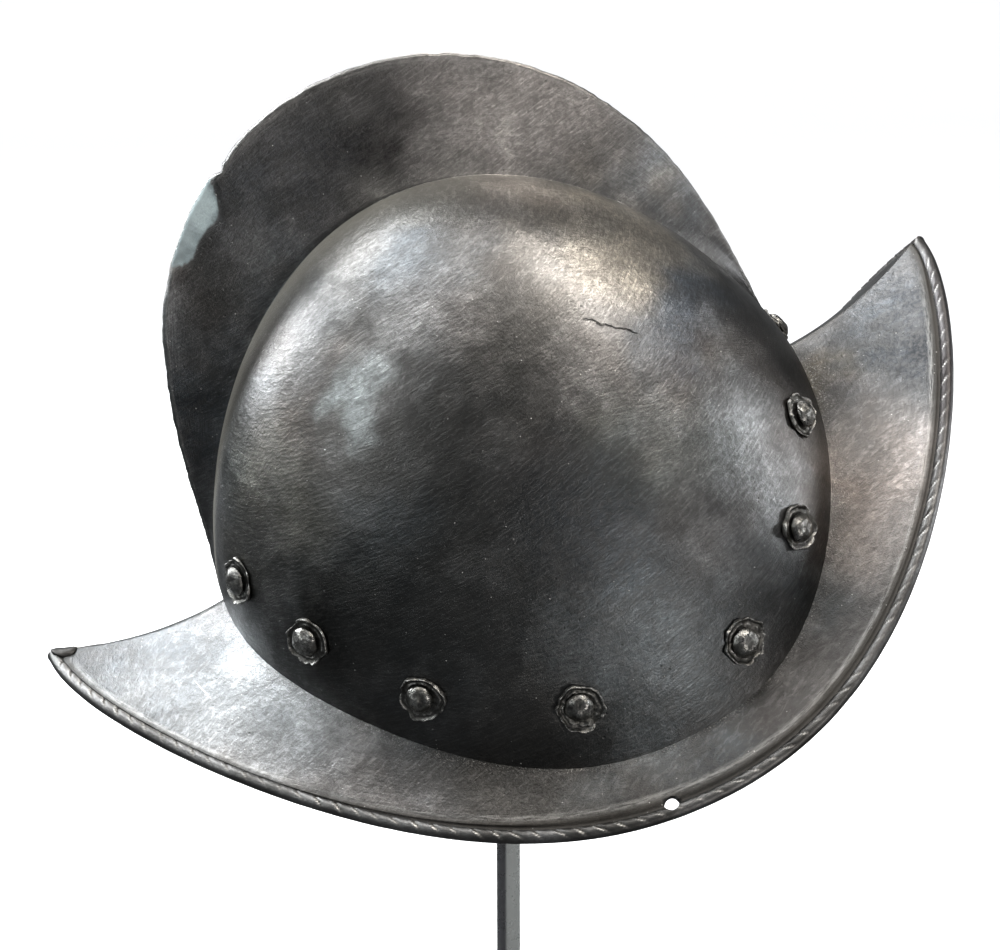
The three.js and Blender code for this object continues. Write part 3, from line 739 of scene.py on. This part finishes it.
def stand_material(finish):
    """Satin black paint with fine orange peel and dust"""
    m = Shader("satin_black_paint")
    dust = m.noise(60, detail=6, rough=0.7)
    m.base = m.mix(dust.over(0.5, 0.8, 0, 0.35), finish.stand, (0.07, 0.07, 0.072))
    # Painted sheen: the post is painted lighter grey on its right, with a thin pale line along its left edge, in place
    # of reflected light
    x, y = (m.node("ShaderNodeSeparateXYZ", axis, m.place) for axis in (0, 1))
    across = x * 0.975 - y * 0.221
    post = (x * x + y * y).over(0.000026, 0.00004, 1, 0)
    post_sheen = (across.over(-0.0014, -0.0003) + across.over(-0.0044, -0.004, 0.8, 0)).clamp()
    m.lay(post_sheen * post, finish.post_sheen)
    peel = m.bump(m.noise(900, detail=2), 0.00003)
    m.set(Base_Color=m.base, Metallic=0.0, IOR=2.0, Roughness=0.2 + dust * 0.15, Normal=peel)
    return m.material


def floor_material(finish):
    m = Shader("pale_floor")
    tone = m.mix(m.noise(1.2, detail=2).over(0.3, 0.7, 0, 0.06), finish.floor, (0.8, 0.8, 0.81))
    m.set(Base_Color=tone, Roughness=0.9, Specular_IOR_Level=0.0)
    return m.material


# Marks on the plate; three carry painted light: a sheen along the comb's root, glints along the fold at the brim's
# foot, and shade inside and under the brim
MARKS = ("comb", "band", "wear", "inside", "limb", "facet", "crease")
# Rows over the step at the band's inner edge: how far past it, share of its depth, wear, dull skin
BAND_STEP = (
    (-0.0024, 0, 0, 0), (-0.0014, -0.1, 0.2, 0), (-0.0005, -0.35, 0.3, 0.2),
    (0.0004, -0.65, 0.1, 0.6), (0.0012, -0.9, 0, 0.9), (0.002, -1, 0, 1),
)


class MORION_OT_plate(Operator):
    """Raise the plate: skull, comb and brim in one sheet"""

    bl_idname = "morion.plate"
    bl_label = "Raise plate"

    def execute(self, context):
        p, finish = settings(context, "plate", "finish")
        form = Form(p)
        a = np.linspace(0, math.tau, p.columns + 1)
        a[-1] = math.tau
        side = -np.sign(np.where(abs(np.sin(a)) < 1e-9, 0, np.sin(a)))
        away = abs(np.sin(a))
        start = form.root_turn(a)
        rows, marks = [], []

        def add(points, **shares):
            rows.append(points)
            marks.append({name: np.broadcast_to(shares.get(name, 0.0), a.shape) for name in MARKS})

        # Comb, from the top of its edge to its root
        for turn in np.linspace(0, math.pi / 2, 5)[:-1]:
            add(form.crown(a, turn, side), comb=1, wear=0.25)
        for share in [*(1 - np.linspace(0, 1, 24)[:-1] ** 1.1), 0.03, 0.012, 0.004]:
            add(form.comb(a, share, side), comb=1, wear=0.3 * max(0, (share - 0.95) / 0.05))
        # Skull, from the comb's root to the foot
        behind = 0.3 + 0.7 * ramp(-np.cos(a), -0.5, 0.3)
        for t in [0, 0.0015, 0.004, 0.01, *np.linspace(0.02, 0.985, 58), 0.993, 0.9975, 0.9993]:
            # Painted sheen on the skull's rim at the comb's root, stronger towards the back
            add(form.bowl(a, start * (1 - t)), limb=hump(t, 0, 0.085) * ramp(t, 0, 0.004) * behind)
        # The foot row carries painted glints along the fold
        add(form.foot(a), crease=0.5)
        # Brim, from the foot to the band, which is widest on the front peak
        point, out, up = form.rim(a)
        width = np.linalg.norm(form.edge(a) - form.foot(a), axis=-1)
        front = ramp(np.cos(a), 0.1, 0.75)
        narrow = 0.3 + 0.45 * ramp(away, 0.03, 0.5) + 0.4 * front * ramp(away, 0.05, 0.3)
        roll = 2 * p.roll_radius
        band_start = roll + p.band_width * narrow
        sunk = p.band_depth * 0.8 * narrow
        reach = 1 - (band_start + 0.0032) / width
        dull = 0.65 + 0.35 * front
        for t in [0.004, 0.012, *np.linspace(0.03, 0.985, 26)]:
            # The first brim rows carry painted glints along the fold
            add(form.brim(a, t * reach), crease=0.9 * hump(t, 0, 0.12))
        for across, above, worn, dark in BAND_STEP:
            step = form.brim(a, 1 - (band_start - across) / width) + up * (above * sunk)[:, None]
            add(step, band=dark * dull, wear=worn * ramp(away, 0.05, 0.4))
        add(point + out * (-roll - 0.0006) - up * p.band_depth, band=dull)
        for across, below in ((0.0006, 0.0002), (p.roll_radius, 0.0011)):
            add(point + out * (across - roll) - up * (p.band_depth + below), band=1)
        # Underside and inside, darkened in the plate's colour as painted shade
        add(point - out * roll - up * (p.band_depth + p.wall + 0.0004), inside=0.6)
        add(point - out * (roll + 0.0015) - up * (p.band_depth + p.wall), inside=0.6)
        for t in np.linspace(1, 0, 12):
            share = t * reach
            add(form.brim(a, share) - form.brim_normal(a, np.maximum(share, 0.02)) * p.wall, inside=0.6)
        add(form.foot(a) - mitre(form.brim_normal(a, 0.1), form.bowl_normal(a, 0.02)) * p.wall, inside=1)
        for t in np.linspace(1, 0, 26)[1:-1]:
            turn = start * (1 - t)
            add(form.bowl(a, turn) - form.bowl_normal(a, turn) * p.wall, inside=1)
        cheek = np.stack([0 * a, side, 0 * a], -1)
        root = form.bowl(a, start) - mitre(cheek, form.bowl_normal(a, start)) * p.wall
        rise = form.comb_height(a)
        top = form.over_crest(a, np.minimum(rise * 0.75, rise - p.wall))
        middle = (root + top) / 2
        hollow = np.maximum(form.comb_half(a, 0.38) - p.wall, 0.0004)
        middle[:, 1] = side * np.minimum(abs(root[:, 1]) * 0.8, hollow)
        for points in (root, middle, top):
            add(points, inside=1)
        rows = np.array(rows)
        marks = {name: np.array([row[name] for row in marks], float) for name in MARKS}
        self.hammer(p, a, rows, marks)
        self.nick(a, rows, marks)
        rows = moved(rows, form.placed())
        steps = np.linalg.norm(np.diff(rows[:, p.columns // 4], axis=0), axis=-1)
        shell = grid_object("helmet_plate", rows, marks, a * 0.14, np.concatenate([[0], np.cumsum(steps)]))
        punch_hole(form, shell)
        dress(shell, "plate_steel", plate_material(finish), "helmet_shell")
        return {"FINISHED"}

    def hammer(self, p, a, rows, marks):
        """Broad hammer marks, gone where the two sides meet so that the seam stays closed"""
        outer = (marks["inside"][:, 0] == 0) & (marks["band"][:, 0] == 0)
        normal = spread(rows)
        calm = ramp(abs(np.sin(a)), 0.0, 0.12) * p.hammering
        for row in np.flatnonzero(outer)[4:]:
            for column in range(len(a)):
                spot = Vector(rows[row, column]) * 30
                dent = noise.noise(spot) + 0.5 * noise.noise(spot * 2.3)
                rows[row, column] += normal[row, column] * calm[column] * dent

    def nick(self, a, rows, marks):
        """Split and filed facet at the back of the comb's edge, and a ragged edge all along"""
        count = int((marks["comb"][:, 0] > 0).sum())
        for column, angle in enumerate(a):
            turn = angle if angle <= math.pi else math.tau - angle
            ragged = 0.0004 * noise.noise(Vector((turn * 26, 0.3, 0)))
            ragged += 0.0003 * noise.noise(Vector((turn * 90, 1.3, 0)))
            cut = 0.0022 * hump(turn, 1.885, 0.013) + 0.0009 * hump(turn, 1.855, 0.01)
            facet = math.exp(-(((turn - 2.005) / 0.11) ** 8))
            pull = rows[count - 1, column] - rows[0, column]
            pull[1] = 0
            pull /= max(np.linalg.norm(pull), 1e-9)
            deep = 10.2 * max(0, 1 - ((turn - 2.02) / 0.115) ** 2) ** 0.5
            deep *= 0.85 + 0.35 * noise.noise(Vector((turn * 13, 0.5, 4)))
            for row in range(count):
                rows[row, column] += pull * (0.0002 + cut + max(ragged, -0.0002)) * hump(row, 0, 5)
                if angle < math.pi and row:
                    here = facet * (1 - ramp(row, deep - 1.2, deep + 0.8))
                    rows[row, column, 1] *= 1 - 0.75 * here * (1 - row / 14)
                    marks["facet"][row, column] = here * (0.3 if row < 2 else 1)


class MORION_OT_rope(Operator):
    """Turn the rim over and rope it"""

    bl_idname = "morion.rope"
    bl_label = "Rope rim"

    def execute(self, context):
        p, trim, finish = settings(context, "plate", "trim", "finish")
        form = Form(p)
        dense = np.linspace(0, math.tau, 4001)
        length = np.concatenate([[0], np.cumsum(np.linalg.norm(np.diff(form.edge(dense), axis=0), axis=-1))])
        twists = round(length[-1] / trim.rope_pitch)
        along = np.linspace(0, length[-1], twists * 9 + 1)
        a = np.interp(along, length, dense)
        a[-1] = math.tau
        point, out, up = form.rim(a)
        centre = p.roll_proud - p.band_depth - p.roll_radius
        strong = np.clip(0.75 + 1.1 * wander(along * 55, 4, 0.7), 0.15, 1.3)
        rows, marks = [], {"burr": [], "nick": [], "top": []}
        for turn in np.radians(np.concatenate([np.linspace(168, 30, 21), np.linspace(10, -185, 11)])):
            window = hump(turn, math.radians(102), math.radians(40)) * strong
            uneven = wander(along * 160, turn * 0.5, 0.7)
            phase = (along / length[-1] * twists - turn * 0.42 + 0.2 * uneven) % 1
            groove, burr = hump(phase, 0.5, 0.1) * window, hump(phase, 0.64, 0.065) * window
            radius = p.roll_radius * (0.975 + 0.025 * uneven) - trim.rope_depth * groove + 0.0003 * burr
            across, above = radius * math.cos(turn) - p.roll_radius, centre + radius * math.sin(turn)
            rows.append(point + out * across[:, None] + up * above[:, None])
            marks["burr"].append(np.clip(1.4 * burr, 0, 1))
            marks["nick"].append(np.clip(1.3 * groove, 0, 1))
            # The roll stays light on its upper side; its underside gets painted shade
            marks["top"].append(np.full(len(a), float(ramp(turn, math.radians(-40), math.radians(30)))))
        rows, marks = ring(rows, marks)
        rows = moved(rows, form.placed())
        rope = grid_object("rope_rim", rows, marks, along, np.linspace(0, 0.014, len(rows)))
        punch_hole(form, rope)
        material = rope_material(finish)
        dress(rope, "plate_steel", material, "helmet_shell")
        curl = bmesh.new()
        bmesh.ops.create_uvsphere(curl, u_segments=24, v_segments=14, radius=1)
        for corner in curl.verts:
            x, y, z = corner.co * (1 + 0.12 * noise.noise(corner.co * 1.7))
            corner.co = (x * CURL_SIZE[0], y * CURL_SIZE[1], z * CURL_SIZE[2] + CURL_BEND * x * x)
        place = form.placed() @ Matrix.Translation(form.edge(np.array(math.pi)))
        place = place @ Matrix.Translation(CURL_SHIFT) @ Matrix.Rotation(math.radians(20), 4, "Y")
        dress(bmesh_object("curled_end", curl, place), "plate_steel", material, "helmet_shell")
        return {"FINISHED"}


# Section of a washer from the hole out over the petals and back: share of its reach, of its height, rub
WASHER_SECTION = (
    (0.3, 0.34, 0), (0.5, 0.34, 0), (0.6, 0.3, 0), (0.67, 0.42, 0.2), (0.71, 0.5, 0.6), (0.75, 0.4, 0.1),
    (0.81, 0.36, 0), (0.87, 0.55, 0.15), (0.92, 0.92, 0.9), (0.95, 1, 1), (0.98, 0.8, 0.6), (1, 0.4, 0.1),
    (0.975, 0.15, 0), (0.9, 0.04, 0), (0.6, 0.02, 0), (0.3, 0.02, 0),
)
WASHER_UNDERSIDE = 12


class MORION_OT_rosettes(Operator):
    """Beat a petalled washer for each rivet, no two alike"""

    bl_idname = "morion.rosettes"
    bl_label = "Rosettes"

    def execute(self, context):
        p, trim, finish = settings(context, "plate", "trim", "finish")
        chance = random.Random(trim.seed)
        material = iron_material("beaten_washer_iron", finish.washer, finish.bright, finish.patina, 0.34)
        a = np.linspace(0, math.tau, 97)
        c, s = np.cos(a), np.sin(a)
        for index, seat in enumerate(Form(p).seats(trim)):
            shift, petals = chance.uniform(0, 9), chance.choice([6, 7, 8, 9])
            lean, start = chance.uniform(0.15, 0.5), chance.uniform(0, math.tau)
            uneven = wander(1.3 * c, 1.3 * s, shift)
            small = wander(4.5 * c, 4.5 * s, shift + 3)
            petal = 0.5 + 0.5 * np.cos(petals * a + start + 1.4 * uneven)
            reach = trim.rosette_radius * (0.93 + 0.09 * uneven + 0.08 * petal + 0.07 * small)
            height = 0.62 + 0.7 * uneven + 0.3 * petal + lean * np.cos(a - start) + 0.35 * small
            height = trim.rosette_rim * np.clip(height, 0.22, 1.15)
            rows, high = [], []
            for k, (share, level, rub) in enumerate(WASHER_SECTION):
                wave = wander(3.2 * c, 3.2 * s, shift + k * 0.6) * (0.9 if 0 < k < WASHER_UNDERSIDE else 0)
                radius = reach * share * (1 + 0.045 * wave)
                if k in (0, len(WASHER_SECTION) - 1):
                    radius = np.full(len(a), trim.rosette_radius * share)
                rows.append(np.stack([radius * c, radius * s, height * level * (1 + 0.55 * wave) + 0.0001], -1))
                high.append(np.clip(rub * (0.55 + 1.8 * small + 0.5 * petal), 0, 1))
            rows, marks = ring(rows, {"high": high})
            rows = moved(rows, seat)
            washer = grid_object(f"washer_{index + 1:02d}", rows, marks, a, np.linspace(0, 1, len(rows)))
            soften(washer)
            dress(washer, "washer_iron", material, f"rosette_{index + 1:02d}")
        return {"FINISHED"}


class MORION_OT_rivets(Operator):
    """Hammer a rivet through each washer"""

    bl_idname = "morion.rivets"
    bl_label = "Rivets"

    def execute(self, context):
        p, trim, finish = settings(context, "plate", "trim", "finish")
        chance = random.Random(trim.seed + 1)
        material = iron_material("worn_rivet_iron", finish.rivet, finish.bright, finish.patina, 0.24)
        head, inner = trim.sheet + 0.0003, -p.wall - 0.0008
        clench, shank = trim.clench_radius, trim.shank_radius
        section = [
            (0, inner - 0.0012), (clench * 0.8, inner - 0.0012), (clench, inner - 0.0008), (clench, inner),
            (shank, inner), (shank, head), (trim.rivet_radius * 0.93, head),
        ]
        for turn in np.radians([8, 18, 30, 42, 54, 66, 78]):
            section.append((trim.rivet_radius * math.cos(turn), head + trim.rivet_height * math.sin(turn)))
        section.append((0, head + trim.rivet_height))
        for index, seat in enumerate(Form(p).seats(trim)):
            shape = turned(section, 40)
            shift, grow = chance.uniform(0, 20), chance.uniform(0.92, 1.04)
            off = Vector((chance.uniform(-1, 1), chance.uniform(-1, 1), 0)) * 0.0008
            mark = shape.verts.layers.float.new("high")
            for corner in shape.verts:
                if corner.co.z > head - 1e-5:
                    spot = corner.co * 330 + Vector((0, 0, shift))
                    lump = noise.noise(spot) + 0.5 * noise.noise(spot * 2.2)
                    corner.co.xy *= grow * (1 + 0.07 * lump)
                    corner.co.z = head + (corner.co.z - head) * (0.9 + 0.16 * lump)
                    corner.co += off
                    corner[mark] = min(1, max(0, 0.35 + lump))
            rivet = bmesh_object(f"rivet_head_{index + 1:02d}", shape, seat)
            soften(rivet)
            dress(rivet, "rivet_iron", material, f"rivet_{index + 1:02d}")
        return {"FINISHED"}


class MORION_OT_stand(Operator):
    """Turn the stand: base, post and domed pad"""

    bl_idname = "morion.stand"
    bl_label = "Stand"

    def execute(self, context):
        s, finish = settings(context, "stand", "finish")
        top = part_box("display_stand")[1][2]
        centre = top - s.pad_roundness
        rim = math.asin(s.pad_radius / s.pad_roundness)
        foot = centre + s.pad_roundness * math.cos(rim) - s.pad_thickness

        def arc(x, z, radius, first, last, count):
            """Points of an arc in the section, from one angle in degrees to another"""
            turns = np.radians(np.linspace(first, last, count))
            return [(x + radius * math.cos(t), z + radius * math.sin(t)) for t in turns]

        b, r = s.base_bevel, s.post_radius
        section = [
            (0, 0),
            *arc(s.base_radius - b, b, b, -90, 0, 6),
            *arc(s.base_radius - b, s.base_thickness - b, b, 0, 90, 6),
            *arc(2 * r, s.base_thickness + r, r, 270, 180, 7),
            *arc(2 * r, foot - r, r, 180, 90, 7),
            (s.pad_radius * 0.9, foot),
            (s.pad_radius * 0.97, foot + s.pad_thickness * 0.12),
            (s.pad_radius, foot + s.pad_thickness * 0.4),
            *arc(0, centre, s.pad_roundness, 90 - math.degrees(rim), 90, 9)[:-1],
            (0, top),
        ]
        stand = bmesh_object("turned_stand", turned(section, 128))
        dress(stand, "stand_black", stand_material(finish), "display_stand")
        return {"FINISHED"}


# name, direction (azimuth from +X, height) in degrees, distance, width, height, power, colour
LAMPS = (
    ("left_overhead", 152, 58, 1.1, 0.7, 0.42, 8.5, (0.95, 0.98, 1.0)),
    ("left_back_window", 150, 24, 1.2, 0.24, 0.2, 12, (0.93, 0.97, 1.0)),
    ("left_back_upper", 125, 42, 1.2, 0.3, 0.24, 8, (0.97, 0.98, 1.0)),
    ("left_spot", 210, 25, 1.2, 0.1, 0.1, 2.6, (0.95, 0.99, 1.0)),
    ("overhead_warm", 311, 62, 1.2, 0.32, 0.2, 7.5, (1.0, 0.95, 0.89)),
    ("right_wash", 350, 12, 1.3, 0.25, 0.3, 3.7, (0.95, 0.97, 1.0)),
    ("front_warm", 291, -3, 1.4, 0.22, 0.16, 3.7, (1.0, 0.96, 0.93)),
    ("overhead_soft", 205, 74, 1.1, 0.35, 0.35, 2.2, (1.0, 0.97, 0.94)),
    ("right_back", 8, 2, 1.5, 0.5, 0.4, 3.1, (0.95, 0.97, 1.0)),
    ("back_soft", 78, 40, 1.2, 0.6, 0.32, 5, (1.0, 0.98, 0.95)),
)
# The sweep behind the piece: half width, how far it starts in front, length, start and radius of its bend
SWEEP_HALF, SWEEP_NEAR, SWEEP_LENGTH, SWEEP_FLAT, SWEEP_RADIUS = 9, 5, 14, 4, 2
SENSOR = 36


class MORION_OT_stage(Operator):
    """Set the floor, light and camera"""

    bl_idname = "morion.stage"
    bl_label = "Stage"

    def execute(self, context):
        stage, finish = settings(context, "stage", "finish")
        self.lay_floor(finish)
        self.light_room(context)
        aim = Vector(stage.aim)
        for name, azimuth, height, distance, width, tall, power, tint in LAMPS:
            lamp = bpy.data.lights.new(name, "AREA")
            lamp.shape, lamp.size, lamp.size_y, lamp.energy, lamp.color = "ELLIPSE", width, tall, power, tint
            a, e = math.radians(azimuth), math.radians(height)
            toward = Vector((math.cos(a) * math.cos(e), math.sin(a) * math.cos(e), math.sin(e)))
            self.hang(name, lamp, aim, toward, distance)
        camera = bpy.data.cameras.new("camera")
        camera.lens, camera.sensor_width = stage.lens, SENSOR
        camera.shift_x, camera.shift_y = stage.shift_x, stage.shift_y
        camera.clip_start = 0.05
        context.scene.camera = self.hang("camera", camera, aim, Vector(stage.toward).normalized(), stage.distance)
        return {"FINISHED"}

    def hang(self, name, what, aim, toward, distance):
        """Place a lamp or the camera so that it looks at the aim from a direction"""
        body = bpy.data.objects.new(name, what)
        body.location = aim + toward * distance
        body.rotation_euler = toward.to_track_quat("Z", "Y").to_euler()
        bpy.context.collection.objects.link(body)
        return body

    def lay_floor(self, finish):
        floor = bmesh.new()
        bmesh.ops.create_grid(floor, x_segments=1, y_segments=40, size=1)
        for corner in floor.verts:
            run = (corner.co.y + 1) / 2 * SWEEP_LENGTH - SWEEP_NEAR
            past = run - SWEEP_FLAT
            bend = min(max(past / SWEEP_RADIUS, 0), math.pi / 2)
            corner.co.x *= SWEEP_HALF
            corner.co.y = min(run, SWEEP_FLAT) + SWEEP_RADIUS * math.sin(bend)
            corner.co.z = SWEEP_RADIUS * (1 - math.cos(bend)) + max(0, past - math.pi * SWEEP_RADIUS / 2)
        floor = bmesh_object("pale_sweep", floor)
        floor.data.materials.append(floor_material(finish))
        floor.visible_glossy = False

    def light_room(self, context):
        """Bright room that the steel mirrors only dimly"""
        world = bpy.data.worlds.new("studio")
        world.use_nodes = True
        nodes, links = world.node_tree.nodes, world.node_tree.links
        path, mixer = nodes.new("ShaderNodeLightPath"), nodes.new("ShaderNodeMixShader")
        links.new(path.outputs["Is Glossy Ray"], mixer.inputs[0])
        seen, mirrored = nodes["Background"], nodes.new("ShaderNodeBackground")
        rooms = (seen, (0.96, 0.965, 0.975, 1), 1.18), (mirrored, (0.9, 0.95, 1, 1), 0.12)
        for socket, (room, tint, strength) in enumerate(rooms, 1):
            room.inputs["Color"].default_value = tint
            room.inputs["Strength"].default_value = strength
            links.new(room.outputs[0], mixer.inputs[socket])
        links.new(mixer.outputs[0], nodes["World Output"].inputs["Surface"])
        context.scene.world = world
        context.scene.view_settings.view_transform = "Standard"


class MORION_PT_panel(Panel):
    """Lists the pieces and their sizes"""

    bl_label = "Morion"
    bl_idname = "MORION_PT_panel"
    bl_space_type = "VIEW_3D"
    bl_region_type = "UI"
    bl_category = "Morion"

    def draw(self, context):
        for kind, group in GROUPS.items():
            box = self.layout.box()
            box.label(text=kind.__doc__)
            for key in kind.__annotations__:
                box.prop(getattr(context.scene, group), key)
        for kind in OPERATORS:
            self.layout.operator(kind.bl_idname)


GROUPS = {
    MorionPlate: "morion_plate",
    MorionTrim: "morion_trim",
    MorionStand: "morion_stand",
    MorionFinish: "morion_finish",
    MorionStage: "morion_stage",
}
OPERATORS = (MORION_OT_plate, MORION_OT_rope, MORION_OT_rosettes, MORION_OT_rivets, MORION_OT_stand, MORION_OT_stage)


def register():
    for kind in (*GROUPS, *OPERATORS, MORION_PT_panel):
        bpy.utils.register_class(kind)
    for kind, group in GROUPS.items():
        setattr(bpy.types.Scene, group, PointerProperty(type=kind))


def unregister():
    for group in GROUPS.values():
        delattr(bpy.types.Scene, group)
    for kind in reversed((*GROUPS, *OPERATORS, MORION_PT_panel)):
        bpy.utils.unregister_class(kind)


def main():
    register()
    bpy.ops.morion.stage()
    bpy.ops.morion.plate()
    bpy.ops.morion.rope()
    bpy.ops.morion.rosettes()
    bpy.ops.morion.rivets()
    bpy.ops.morion.stand()


if __name__ == "__main__":
    main()
